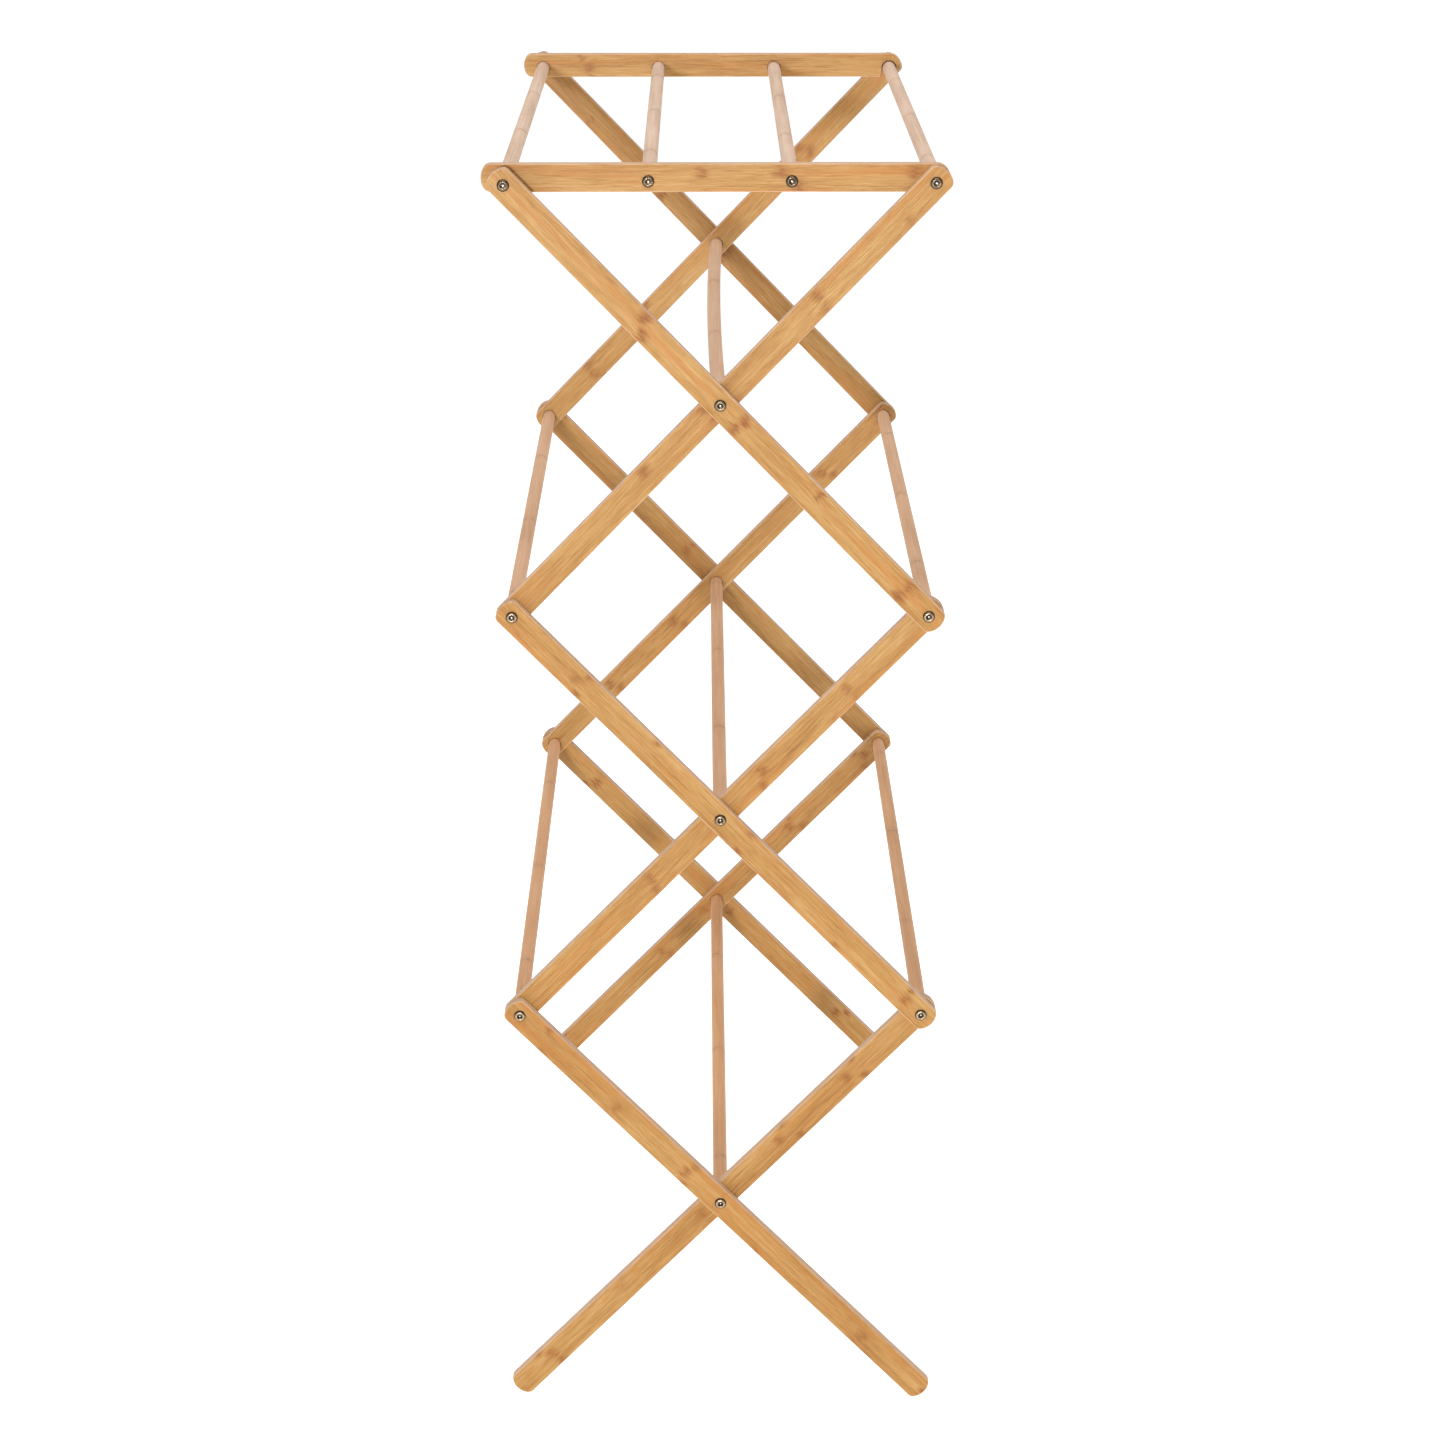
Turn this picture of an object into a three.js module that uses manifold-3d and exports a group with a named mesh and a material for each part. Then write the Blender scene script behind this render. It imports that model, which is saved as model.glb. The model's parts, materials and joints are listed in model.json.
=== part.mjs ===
// Folding bamboo clothes drying rack: two side frames of crossed arms, three crossings high, joined by
// round rods, with a top shelf that hooks over a rod and keeps the rack open.
// Millimetres, +Z up. X runs across the crossed arms and Y along the rods. The rack stands open on z = 0,
// and the origin is at the centre of its footprint.
import * as THREE from 'three';
import { mergeVertices } from 'three/addons/utils/BufferGeometryUtils.js';
import Module from 'manifold-3d';

// Linkage
const HALF_LINK = 239; // from an arm's middle pivot to either end pivot
const OPEN_ANGLE = THREE.MathUtils.degToRad(44); // arm from vertical when the rack is open
const INNER_SPAN = 684; // between the inner faces of the two inner arm layers
const SHELF_TURNS = 6.9; // turns of the shelf for each turn of an arm as the rack folds

// Bars
const ARM_WIDTH = 22;
const RAIL_WIDTH = 22;
const BAR_THICKNESS = 9;
const LAYER_GAP = 0.4; // between neighbouring bars at a pivot
const EDGE_CHAMFER = 1.2;
const RAIL_PIVOT_BELOW = 2.6; // rail's rod holes sit this far under its middle line

// Bar ends: how far the end reaches past its pivot, the radius of its face and the radius of its corners
const ARM_END = { reach: 12.5, face: 15, corner: 6 };
const RAIL_PIVOT_END = { reach: 18.2, face: 16, corner: 7 };
const RAIL_LATCH_REACH = 11.4; // the latch end is a half round

// Rods and their holes
const ROD_RADIUS = 6;
const BORE_RADIUS = 6.4;
const ROD_END_GAP = 0.3;
const SOCKET_DEPTH = 5;
const PILOT_RADIUS = 2.3;
const PILOT_DEPTH = 28;

// Latch slot in the rail
const SLOT_RADIUS = 7;
const SLOT_STRAIGHT = 7.2; // straight part of the slot, from the rod's centre towards its mouth
const SLOT_FLARE = 8; // the mouth opens by this much on each side, and is this deep

// Screws
const SHANK_RADIUS = 2;
const SCREW_LENGTH = 30;
const POINT_RADIUS = 0.8; // the shank's blunt point
const POINT_LENGTH = 4;
const HEAD_RADIUS = 4.75;
const HEAD_EDGE = 0.9;
const HEAD_HEIGHT = 2.2;
const HEAD_FLAT_RADIUS = 3.4;
const HEX_RADIUS = 2.3;
const HEX_DEPTH = 1.5;
const SCREW_SEAT_GAP = 0.25;

// Fineness
const END_STEPS = 3; // facets in each arc of a bar's end
const ROD_FACETS = 20;
const HOLE_FACETS = 12;
const SLOT_FACETS = 12;
const SCREW_FACETS = 12;
const HEX_SIDES = 6;
const OVERCUT = 1; // how far a cutter runs past the face that it opens

const halfWidth = HALF_LINK * Math.sin(OPEN_ANGLE); // half the distance between side pivots
const halfHeight = HALF_LINK * Math.cos(OPEN_ANGLE); // height from one pivot level to the next
const rightAngle = Math.PI / 2;

const wasm = await Module();
wasm.setup();

// A closed three.js geometry as a solid: shared points are merged and empty triangles are dropped.
function solidOf(geometry) {
  const bare = geometry.clone();
  bare.deleteAttribute('normal');
  bare.deleteAttribute('uv');
  const merged = mergeVertices(bare, 1e-4);
  const corners = merged.index.array;
  const kept = [];
  for (let i = 0; i < corners.length; i += 3) {
    const [a, b, c] = [corners[i], corners[i + 1], corners[i + 2]];
    if (a !== b && b !== c && c !== a) kept.push(a, b, c);
  }
  return new wasm.Manifold(new wasm.Mesh({
    numProp: 3,
    vertProperties: new Float32Array(merged.attributes.position.array),
    triVerts: new Uint32Array(kept),
  }));
}

function geometryOf(solid) {
  const mesh = solid.getMesh();
  const geometry = new THREE.BufferGeometry();
  geometry.setAttribute('position', new THREE.BufferAttribute(new Float32Array(mesh.vertProperties), 3));
  geometry.setIndex(new THREE.BufferAttribute(new Uint32Array(mesh.triVerts), 1));
  geometry.computeVertexNormals();
  return geometry;
}

function without(blank, cutters) {
  let solid = solidOf(blank);
  for (const cutter of cutters) solid = solid.subtract(solidOf(cutter));
  return geometryOf(solid);
}

// A round cutter along Y, centred on (x, z), from depth yFrom to depth yTo.
function drill(x, z, radius, yFrom, yTo, facets) {
  const hole = new THREE.CylinderGeometry(radius, radius, yTo - yFrom, facets);
  return hole.translate(x, (yFrom + yTo) / 2, z);
}

// Where the arcs of a bar's end lie: the face arc's centre, the corner arcs' centres and where they meet.
function endArcs(end, width) {
  const cornerSide = width / 2 - end.corner;
  const faceCentre = end.reach - end.face;
  const cornerAlong = faceCentre + Math.sqrt((end.face - end.corner) ** 2 - cornerSide ** 2);
  return { cornerSide, faceCentre, cornerAlong, meet: Math.atan2(cornerSide, cornerAlong - faceCentre) };
}

// Adds a flattened round end, with soft corners, to an outline that runs anticlockwise.
// turn is 0 for the end at +X and half a turn for the end at -X.
function addSoftEnd(shape, pivotX, end, width, turn) {
  const { cornerSide, faceCentre, cornerAlong, meet } = endArcs(end, width);
  const sign = Math.cos(turn);
  const cornerX = pivotX + sign * cornerAlong;
  shape.absarc(cornerX, -sign * cornerSide, end.corner, turn - rightAngle, turn - meet);
  shape.absarc(pivotX + sign * faceCentre, 0, end.face, turn - meet, turn + meet);
  shape.absarc(cornerX, sign * cornerSide, end.corner, turn + meet, turn + rightAngle);
}

// A flat bar cut to an outline drawn in X (along) and Z (across), with chamfered edges and centred on y = 0.
function barBlank(outline) {
  const blank = new THREE.ExtrudeGeometry(outline, {
    depth: BAR_THICKNESS - 2 * EDGE_CHAMFER,
    curveSegments: END_STEPS,
    bevelThickness: EDGE_CHAMFER,
    bevelSize: EDGE_CHAMFER,
    bevelOffset: -EDGE_CHAMFER,
    bevelSegments: 1,
  });
  return blank.translate(0, 0, EDGE_CHAMFER - BAR_THICKNESS / 2).rotateX(rightAngle);
}

// An arm lies along +X from its first end pivot. holes lists a radius for each of its three pivot places,
// with 0 where nothing passes, as at a foot.
function armGeometry(holes) {
  const outline = new THREE.Shape();
  addSoftEnd(outline, 2 * HALF_LINK, ARM_END, ARM_WIDTH, 0);
  addSoftEnd(outline, 0, ARM_END, ARM_WIDTH, Math.PI);
  const cutters = [];
  holes.forEach((radius, place) => {
    if (radius === 0) return;
    const facets = radius > PILOT_RADIUS ? ROD_FACETS : HOLE_FACETS;
    const reach = BAR_THICKNESS / 2 + OVERCUT;
    cutters.push(drill(place * HALF_LINK, 0, radius, -reach, reach, facets));
  });
  return without(barBlank(outline), cutters);
}

// The slot that hooks over the latch rod. It leans towards the rail's pivot by the rod's path as the
// shelf starts to lift, and opens out at its mouth.
function latchSlot() {
  const lean = Math.atan2(halfHeight, halfWidth * SHELF_TURNS);
  const down = new THREE.Vector2(-Math.sin(lean), -Math.cos(lean));
  const right = new THREE.Vector2(Math.cos(lean), -Math.sin(lean));
  const at = (across, along) => right.clone().multiplyScalar(across).addScaledVector(down, along);
  const slot = new THREE.Shape();
  slot.absarc(0, 0, SLOT_RADIUS, -lean, Math.PI - lean);
  const mouth = [
    at(-SLOT_RADIUS, SLOT_STRAIGHT),
    at(-SLOT_RADIUS - SLOT_FLARE, SLOT_STRAIGHT + SLOT_FLARE),
    at(SLOT_RADIUS + SLOT_FLARE, SLOT_STRAIGHT + SLOT_FLARE),
    at(SLOT_RADIUS, SLOT_STRAIGHT),
  ];
  for (const corner of mouth) slot.lineTo(corner.x, corner.y);
  const depth = BAR_THICKNESS + 2 * OVERCUT;
  const cutter = new THREE.ExtrudeGeometry(slot, { depth, curveSegments: SLOT_FACETS, bevelEnabled: false });
  return cutter.translate(2 * halfWidth, 0, -depth / 2).rotateX(rightAngle);
}

// A rail lies along +X from its pivot. side is -1 for the front rail and +1 for the rear one, and its
// inner face is the one towards the middle of the rack.
function railGeometry(side) {
  const outline = new THREE.Shape();
  const latchX = 2 * halfWidth + RAIL_LATCH_REACH - RAIL_WIDTH / 2;
  outline.absarc(latchX, 0, RAIL_WIDTH / 2, -rightAngle, rightAngle);
  addSoftEnd(outline, 0, RAIL_PIVOT_END, RAIL_WIDTH, Math.PI);
  const blank = barBlank(outline).translate(0, 0, RAIL_PIVOT_BELOW);
  const reach = BAR_THICKNESS / 2 + OVERCUT;
  const cutters = [drill(0, 0, BORE_RADIUS, -reach, reach, ROD_FACETS), latchSlot()];
  for (const third of [1, 2]) {
    const x = third * 2 * halfWidth / 3;
    const inner = -side * reach;
    const socketFloor = -side * (BAR_THICKNESS / 2 - SOCKET_DEPTH);
    const [low, high] = [Math.min(inner, socketFloor), Math.max(inner, socketFloor)];
    cutters.push(drill(x, 0, BORE_RADIUS, low, high, ROD_FACETS));
    cutters.push(drill(x, 0, PILOT_RADIUS, -reach, reach, HOLE_FACETS));
  }
  return without(blank, cutters);
}

// A rod along Y, centred on its middle, with a screw pilot in each end.
function rodGeometry(length) {
  const rod = new THREE.CylinderGeometry(ROD_RADIUS, ROD_RADIUS, length, ROD_FACETS);
  const [tip, floor] = [length / 2 + OVERCUT, length / 2 - PILOT_DEPTH];
  return without(rod, [
    drill(0, 0, PILOT_RADIUS, floor, tip, HOLE_FACETS),
    drill(0, 0, PILOT_RADIUS, -tip, -floor, HOLE_FACETS),
  ]);
}

// A screw along Y with its head's underside on y = 0 and its shank towards -Y.
function screwGeometry() {
  const profile = [
    [0, -SCREW_LENGTH],
    [POINT_RADIUS, -SCREW_LENGTH],
    [SHANK_RADIUS, POINT_LENGTH - SCREW_LENGTH],
    [SHANK_RADIUS, 0],
    [HEAD_RADIUS, 0],
    [HEAD_RADIUS, HEAD_EDGE],
    [HEAD_FLAT_RADIUS, HEAD_HEIGHT],
    [0, HEAD_HEIGHT],
  ];
  const body = new THREE.LatheGeometry(profile.map(([x, y]) => new THREE.Vector2(x, y)), SCREW_FACETS);
  const [floor, top] = [HEAD_HEIGHT - HEX_DEPTH, HEAD_HEIGHT + OVERCUT];
  return without(body, [drill(0, 0, HEX_RADIUS, floor, top, HEX_SIDES)]);
}

function wood(color, roughness) {
  return new THREE.MeshStandardMaterial({ color, roughness, metalness: 0 });
}
const lacqueredBamboo = () => wood(0xdeac71, 0.42);
const paleDowel = () => wood(0xd6bca9, 0.6);
const agedSteel = () => new THREE.MeshStandardMaterial({ color: 0x6f6254, roughness: 0.35, metalness: 0.9 });

const rack = new THREE.Group();
rack.name = 'clothes_drying_rack';

// Heights: a foot's lowest point is the edge of its rounded corner, and the pivot levels go up from there.
const foot = endArcs(ARM_END, ARM_WIDTH);
const footDrop = foot.cornerAlong * Math.cos(OPEN_ANGLE) + foot.cornerSide * Math.sin(OPEN_ANGLE);
const level = (step) => footDrop + ARM_END.corner + step * halfHeight;
const TOP_STEP = 6;

// The rail's pivot end reaches further out than any arm's end, so the pivots stand a little off centre.
const armReachX = foot.cornerAlong * Math.sin(OPEN_ANGLE) + foot.cornerSide * Math.cos(OPEN_ANGLE);
const centreX = (RAIL_PIVOT_END.reach - armReachX - ARM_END.corner) / 2;
const [leftX, rightX] = [centreX - halfWidth, centreX + halfWidth];

// Layers, measured from the middle of the rack to the middle of the bar.
const innerLayer = (INNER_SPAN + BAR_THICKNESS) / 2;
const outerLayer = innerLayer + BAR_THICKNESS + LAYER_GAP;
const railLayer = innerLayer - BAR_THICKNESS - LAYER_GAP;
const sides = [['front', -1], ['rear', 1]];

function place(name, geometry, material, x, y, z, turn = 0) {
  const mesh = new THREE.Mesh(geometry, material);
  mesh.name = name;
  mesh.position.set(x, y, z);
  mesh.rotation.y = turn;
  rack.add(mesh);
  return mesh;
}

// Arms. Outer arms lean to the left and are listed from their top end; inner arms lean to the right and
// are listed from their bottom end.
const armTurn = rightAngle - OPEN_ANGLE;
const screwed = armGeometry([PILOT_RADIUS, PILOT_RADIUS, PILOT_RADIUS]);
const screwedLeg = armGeometry([PILOT_RADIUS, PILOT_RADIUS, 0]);
const boredTop = armGeometry([BORE_RADIUS, BORE_RADIUS, PILOT_RADIUS]);
const bored = armGeometry([BORE_RADIUS, BORE_RADIUS, BORE_RADIUS]);
const boredLeg = armGeometry([0, BORE_RADIUS, BORE_RADIUS]);
const tiers = [
  { name: 'upper', top: TOP_STEP, outer: screwed, inner: boredTop },
  { name: 'middle', top: TOP_STEP - 2, outer: screwed, inner: bored },
  { name: 'lower', top: TOP_STEP - 4, outer: screwedLeg, inner: boredLeg },
];
for (const [sideName, side] of sides) {
  for (const { name, top, outer, inner } of tiers) {
    const [outerY, innerY] = [side * outerLayer, side * innerLayer];
    place(`${name}_outer_arm_${sideName}`, outer, lacqueredBamboo(), leftX, outerY, level(top), armTurn);
    place(`${name}_inner_arm_${sideName}`, inner, lacqueredBamboo(), leftX, innerY, level(top - 2), -armTurn);
  }
  const rail = railGeometry(side);
  place(`top_rail_${sideName}`, rail, lacqueredBamboo(), leftX, side * railLayer, level(TOP_STEP));
}

// Rods. Each ends just short of the bar that its screws go through, and seat is that bar's outer face.
const outerArmFit = { end: outerLayer - BAR_THICKNESS / 2, seat: outerLayer + BAR_THICKNESS / 2 };
const innerArmFit = { end: innerLayer - BAR_THICKNESS / 2, seat: innerLayer + BAR_THICKNESS / 2 };
const railFit = { end: railLayer - BAR_THICKNESS / 2 + SOCKET_DEPTH, seat: railLayer + BAR_THICKNESS / 2 };
const rods = [
  ['top_left', leftX, TOP_STEP, outerArmFit],
  ['top_second', leftX + 2 * halfWidth / 3, TOP_STEP, railFit],
  ['top_third', rightX - 2 * halfWidth / 3, TOP_STEP, railFit],
  ['top_right', rightX, TOP_STEP, innerArmFit],
  ['upper_centre', centreX, TOP_STEP - 1, outerArmFit],
  ['upper_left', leftX, TOP_STEP - 2, outerArmFit],
  ['upper_right', rightX, TOP_STEP - 2, outerArmFit],
  ['middle_centre', centreX, TOP_STEP - 3, outerArmFit],
  ['lower_left', leftX, TOP_STEP - 4, outerArmFit],
  ['lower_right', rightX, TOP_STEP - 4, outerArmFit],
  ['lower_centre', centreX, TOP_STEP - 5, outerArmFit],
];
const screw = screwGeometry();
for (const [name, x, step, fit] of rods) {
  const rod = rodGeometry(2 * (fit.end - ROD_END_GAP));
  place(`${name}_rod`, rod, paleDowel(), x, 0, level(step));
  for (const [sideName, side] of sides) {
    const fastener = place(
      `${name}_screw_${sideName}`, screw, agedSteel(), x, side * (fit.seat + SCREW_SEAT_GAP), level(step));
    if (side < 0) fastener.rotation.x = Math.PI;
  }
}

export default rack;
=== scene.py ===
import json
import math

import bpy
from mathutils import Matrix, Vector
from mathutils.geometry import tessellate_polygon


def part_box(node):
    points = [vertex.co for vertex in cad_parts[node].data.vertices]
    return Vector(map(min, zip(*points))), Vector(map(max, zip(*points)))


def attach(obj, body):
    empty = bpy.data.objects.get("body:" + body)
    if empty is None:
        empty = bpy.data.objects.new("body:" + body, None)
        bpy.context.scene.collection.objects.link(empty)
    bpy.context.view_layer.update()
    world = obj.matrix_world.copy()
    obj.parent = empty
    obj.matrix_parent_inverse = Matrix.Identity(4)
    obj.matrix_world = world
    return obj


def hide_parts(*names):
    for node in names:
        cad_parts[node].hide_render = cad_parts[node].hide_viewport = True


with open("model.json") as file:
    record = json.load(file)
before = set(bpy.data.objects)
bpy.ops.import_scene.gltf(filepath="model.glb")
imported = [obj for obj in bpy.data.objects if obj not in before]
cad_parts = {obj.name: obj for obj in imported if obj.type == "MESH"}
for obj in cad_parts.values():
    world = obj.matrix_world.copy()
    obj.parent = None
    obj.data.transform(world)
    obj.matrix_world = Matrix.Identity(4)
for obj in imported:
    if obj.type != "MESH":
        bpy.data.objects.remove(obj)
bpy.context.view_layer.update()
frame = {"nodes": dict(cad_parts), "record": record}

# Folding bamboo clothes rack: every bar, rod and screw of the frame gets a finely made piece in its place.
# Metres and radians, in the row frame. A piece is built in its own frame and then placed, so that a bar's or
# rod's own X runs along its grain.

# Bars
BAR_WIDTH = 0.022
EDGE_ROUND = 0.0012
HOLE_EASE = 0.0004
# A bar's end: how far it reaches past the pivot, and the radii of its face and of its two corners
ARM_END = {"reach": 0.0125, "face": 0.015, "corner": 0.006}
RAIL_PIVOT_END = {"reach": 0.0182, "face": 0.016, "corner": 0.007}
RAIL_PIVOT_BELOW = 0.0026  # how far the rail's pivots lie below its middle line
RAIL_LATCH_REACH = 0.0114  # how far the slotted end reaches past the latch rod's centre
BORE_RADIUS = 0.0064
PILOT_RADIUS = 0.0023
SOCKET_DEPTH = 0.005

# Latch slot
SLOT_RADIUS = 0.007
SHELF_TURNS = 6.9  # how far the shelf turns for each turn of the arms
MOUTH_ROUND = 0.0015
HOOK_TIP_ROUND = 0.0016

# Rods
ROD_RADIUS = 0.006
ROD_CHAMFER = 0.0005
PILOT_DEPTH = 0.028
PILOT_POINT = 0.0012
BOW = {"upper_centre": 0.0035}  # how far a rod's middle stands out

# Screws, as (height over the seat, radius): the shank is below the seat
SHANK = [(-0.030, 0.0), (-0.030, 0.0008), (-0.026, 0.002), (0.0, 0.002)]
HEAD = [(0.0, 0.00475), (0.00035, 0.00475), (0.0007, 0.00462), (0.00115, 0.00428),
        (0.00155, 0.0038), (0.00187, 0.0032), (0.00202, 0.00275), (0.00202, 0.00262)]
SOCKET_RADIUS = 0.0023
SOCKET_LIP = 0.0018
SOCKET_FLOOR = 0.0008
SOCKET_CENTRE = 0.0005
SOCKET_TURN = 2.4  # each socket was left at its own angle, this far from the last one's

# Fineness
ARC_STEP = math.radians(7.5)
ROUND_STEPS = 4
EASE_STEPS = 2
ROD_SEGMENTS = 40
ROD_LENGTHS = 28
SCREW_SEGMENTS = 48
SHARP_ANGLE = math.radians(35)

QUARTER = math.pi / 2
SAME_POINT = 1e-6


def direction(angle):
    return Vector((math.cos(angle), math.sin(angle)))


# ---------------------------------------------------------------- outlines
# An outline is a list of arcs (centre, radius, start angle, stop angle, side) joined by tangent straight
# lines, with the material on its left. side is 1 where it bulges out and -1 where it is hollow.

def trace(arcs, inset):
    """The outline's points, moved into the material by inset, each with its outward direction."""
    points = []
    for k, (centre, radius, start, stop, side) in enumerate(arcs):
        steps = max(1, round(abs(stop - start) / ARC_STEP))
        next_centre, next_radius, next_start, _, _ = arcs[(k + 1) % len(arcs)]
        gap = centre + direction(stop) * radius - next_centre - direction(next_start) * next_radius
        for i in range(steps if gap.length < SAME_POINT else steps + 1):
            out = direction(start + (stop - start) * i / steps)
            points.append((centre + out * (radius - side * inset), out * side))
    return points


def circle(centre, radius):
    return [(Vector(centre), radius, 4 * QUARTER, 0.0, -1)]


def soft_end(pivot, end, middle, turn):
    """A flattened round end with soft corners, round a pivot. turn is 0 at +X and half a turn at -X."""
    sign = math.cos(turn)
    side = BAR_WIDTH / 2 - end["corner"]
    face = end["reach"] - end["face"]
    along = face + math.sqrt((end["face"] - end["corner"]) ** 2 - side ** 2)
    meet = math.atan2(side, along - face)
    corner_x, face_x = pivot + sign * along, pivot + sign * face
    return [
        (Vector((corner_x, middle - sign * side)), end["corner"], turn - QUARTER, turn - meet, 1),
        (Vector((face_x, middle)), end["face"], turn - meet, turn + meet, 1),
        (Vector((corner_x, middle + sign * side)), end["corner"], turn + meet, turn + QUARTER, 1),
    ]


def arm_outline(length):
    return soft_end(length, ARM_END, 0.0, 0.0) + soft_end(0.0, ARM_END, 0.0, math.pi)


def rail_outline(length, lean):
    """A rail with its pivot end at -X and, at +X, a half round end cut by the latch slot."""
    slot, right, down = Vector((length, 0.0)), direction(-lean), direction(-QUARTER - lean)
    low = RAIL_PIVOT_BELOW - BAR_WIDTH / 2
    latch = Vector((length + RAIL_LATCH_REACH - BAR_WIDTH / 2, RAIL_PIVOT_BELOW))
    mouth_depth = ((SLOT_RADIUS + MOUTH_ROUND) * math.sin(lean) - low - MOUTH_ROUND) / math.cos(lean)
    mouth = slot - right * (SLOT_RADIUS + MOUTH_ROUND) + down * mouth_depth
    # the hook's tip touches the slot's side and the end's half round from inside
    side = slot + right * (SLOT_RADIUS + HOOK_TIP_ROUND)
    away, limit = side - latch, BAR_WIDTH / 2 - HOOK_TIP_ROUND
    along = away.dot(down)
    tip = side + down * (-along + math.sqrt(along ** 2 - away.length_squared + limit ** 2))
    tip_angle = math.atan2((tip - latch).y, (tip - latch).x)
    return [
        (latch, BAR_WIDTH / 2, tip_angle, QUARTER, 1),
        *soft_end(0.0, RAIL_PIVOT_END, RAIL_PIVOT_BELOW, math.pi),
        (mouth, MOUTH_ROUND, -QUARTER, -lean, 1),
        (slot, SLOT_RADIUS, math.pi - lean, -lean, -1),
        (tip, HOOK_TIP_ROUND, math.pi - lean, tip_angle + 4 * QUARTER, 1),
    ]


# ---------------------------------------------------------------- flat bars
# A wall goes through the bar in stretches. A stretch is a list of (inset, y, outward part, y part): where
# the wall is, and its normal. Two stretches meet in a hard edge.

def rounding(radius, y, towards, steps):
    """A quarter round from a face at y to the wall. towards is the sign of that face's normal."""
    turns = [QUARTER * i / steps for i in range(steps + 1)]
    return [(radius * (1 - math.sin(a)), y - towards * radius * (1 - math.cos(a)),
             math.sin(a), towards * math.cos(a)) for a in turns]


def through(radius, half, steps):
    """A wall from the front face to the back one, with both edges rounded."""
    return [rounding(radius, -half, -1, steps) + rounding(radius, half, 1, steps)[::-1]]


def socket_walls(half, inner):
    """A blind socket, open on the inner side, with a pilot hole through its floor. inner is -1 or 1."""
    shrink = PILOT_RADIUS - BORE_RADIUS
    floor = inner * (half - SOCKET_DEPTH)
    socket = rounding(HOLE_EASE, inner * half, inner, EASE_STEPS) + [(0.0, floor, 1.0, 0.0)]
    step = [(0.0, floor, 0.0, inner), (shrink, floor, 0.0, inner)]
    edge = [(inset + shrink, y, out, across)
            for inset, y, out, across in rounding(HOLE_EASE, -inner * half, -inner, EASE_STEPS)]
    pilot = [(shrink, floor, 1.0, 0.0)] + edge[::-1]
    walls = [socket, step, pilot]
    return walls if inner < 0 else [wall[::-1] for wall in walls[::-1]]


class Bar:
    """Collects a flat bar's points, faces and corner normals."""

    def __init__(self):
        self.points, self.faces, self.normals = [], [], []

    def ring(self, arcs, inset, y):
        """Adds one ring of points, and returns their numbers and their outward directions."""
        start = len(self.points)
        traced = trace(arcs, inset)
        self.points += [(p.x, y, p.y) for p, _ in traced]
        return list(range(start, len(self.points))), [out for _, out in traced]

    def wall(self, arcs, stretches):
        """Adds a wall and returns its first and last rings of points."""
        first = last = None
        for stretch in stretches:
            for k, (inset, y, out, across) in enumerate(stretch):
                if k > 0 or last is None:  # a later stretch starts from the ring the one before ended on
                    ring, outs = self.ring(arcs, inset, y)
                normals = [(o.x * out, across, o.y * out) for o in outs]
                if k > 0:
                    self.strip(last, ring, last_normals, normals)
                last, last_normals = ring, normals
                first = first or ring
        return first, last

    def strip(self, near, far, near_normals, far_normals):
        """Joins two rings with a band of faces."""
        count = len(near)
        for i in range(count):
            j = (i + 1) % count
            self.faces.append((near[i], far[i], far[j], near[j]))
            self.normals += [near_normals[i], far_normals[i], far_normals[j], near_normals[j]]

    def face(self, rings, towards):
        """Closes one flat side round the holes. towards is the sign of its normal's Y."""
        flat = [i for ring in rings for i in ring]
        loops = [[Vector((self.points[i][0], self.points[i][2], 0)) for i in ring] for ring in rings]
        for triangle in tessellate_polygon(loops):
            a, b, c = (flat[i] for i in triangle)
            (ax, _, az), (bx, _, bz), (cx, _, cz) = (self.points[i] for i in (a, b, c))
            turn = (bx - ax) * (cz - az) - (bz - az) * (cx - ax)
            self.faces.append((a, b, c) if turn * towards < 0 else (a, c, b))
            self.normals += [(0, towards, 0)] * 3

    def mesh(self, name):
        mesh = bpy.data.meshes.new(name)
        mesh.from_pydata(self.points, [], self.faces)
        mesh.polygons.foreach_set("use_smooth", [True] * len(mesh.polygons))
        mesh.normals_split_custom_set(self.normals)
        return mesh


def bar_mesh(name, outline, thickness, holes):
    """A bar with rounded edges. holes are (arcs, walls) pairs."""
    bar, half = Bar(), thickness / 2
    walls = [bar.wall(outline, through(EDGE_ROUND, half, ROUND_STEPS))]
    walls += [bar.wall(arcs, stretches) for arcs, stretches in holes]
    bar.face([first for first, _ in walls], -1)
    bar.face([last for _, last in walls], 1)
    return bar.mesh(name)


# ---------------------------------------------------------------- round pieces

def turned_mesh(name, profile, segments, shape=lambda k, angle: 1.0, shift=lambda x: 0.0):
    """A closed body turned about X from (x, radius) points that start and end on the axis.

    shape scales the radius at a profile point and an angle, and shift moves a section sideways."""
    points, faces, rings = [], [], []
    for k, (x, radius) in enumerate(profile):
        count = segments if radius > 0 else 1
        rings.append(list(range(len(points), len(points) + count)))
        for j in range(count):
            angle = 4 * QUARTER * j / segments
            reach = radius * shape(k, angle)
            points.append((x, shift(x) + reach * math.cos(angle), reach * math.sin(angle)))
    for near, far in zip(rings, rings[1:]):
        for j in range(segments):
            a, b = j % len(near), (j + 1) % len(near)
            c, d = (j + 1) % len(far), j % len(far)
            faces.append(tuple(dict.fromkeys((near[a], far[d], far[c], near[b]))))
    mesh = bpy.data.meshes.new(name)
    mesh.from_pydata(points, [], [face[::-1] for face in faces])
    mesh.polygons.foreach_set("use_smooth", [True] * len(mesh.polygons))
    mesh.set_sharp_from_angle(angle=SHARP_ANGLE)
    return mesh


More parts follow.
